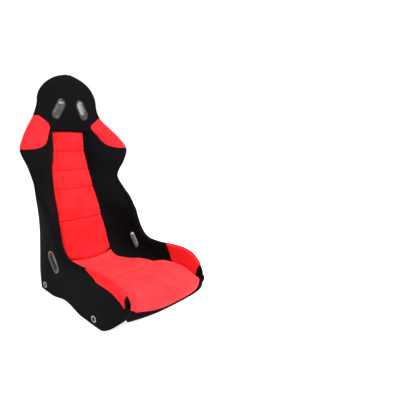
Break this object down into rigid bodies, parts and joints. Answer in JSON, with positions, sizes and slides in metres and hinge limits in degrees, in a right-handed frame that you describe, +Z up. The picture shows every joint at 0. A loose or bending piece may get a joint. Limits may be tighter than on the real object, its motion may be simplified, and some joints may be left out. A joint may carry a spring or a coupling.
{
  "type": "racing bucket seat",
  "caption": "Fixed-back racing bucket seat with a skirted shell, high side bolsters, velour-covered pads, slots for harness straps and threaded bushes for side brackets.",
  "frame": {"origin": "centre of the bounding box on the floor, under the middle of the seat, with the skirt's feet at z = 0", "axes": "+Z up; the seat faces -Y; +X is the occupant's left side; the part is mirror-symmetric about the YZ plane"},
  "size_m": [0.5114, 0.663, 0.799],
  "materials": {
    "red_velour": "bright red velour, matte",
    "black_velour": "black velour, matte",
    "laminate": "raw glass-fibre laminate",
    "foam": "open-cell foam",
    "hook_tape": "black hook-and-loop tape",
    "bezel_plastic": "dark metallic grey plastic, satin",
    "mount_steel": "zinc-plated steel",
    "eyelet_steel": "bright plated steel"
  },
  "bodies": {
    "root": {"seat_shell": "laminate", "outer_skin": "black_velour", "seat_pan": "laminate", "back_foam": "foam", "headrest_pad": "black_velour", "left_bolster": "black_velour", "right_bolster": "black_velour", "left_shoulder_pad": "red_velour", "right_shoulder_pad": "red_velour", "left_thigh_pad": "red_velour", "right_thigh_pad": "red_velour", "backrest_panel": "red_velour", "seat_cushion": "red_velour", "front_edge_roll": "black_velour", "cushion_hook_strips": "hook_tape", "left_shoulder_front_bezel": "bezel_plastic", "right_shoulder_front_bezel": "bezel_plastic", "left_shoulder_rear_bezel": "bezel_plastic", "right_shoulder_rear_bezel": "bezel_plastic", "left_lap_inner_bezel": "bezel_plastic", "right_lap_inner_bezel": "bezel_plastic", "left_lap_outer_bezel": "bezel_plastic", "right_lap_outer_bezel": "bezel_plastic", "left_mount_plate": "mount_steel", "right_mount_plate": "mount_steel", "left_mount_bushes": "mount_steel", "right_mount_bushes": "mount_steel", "left_bolt_washers": "eyelet_steel", "right_bolt_washers": "eyelet_steel"}
  },
  "joints": []
}
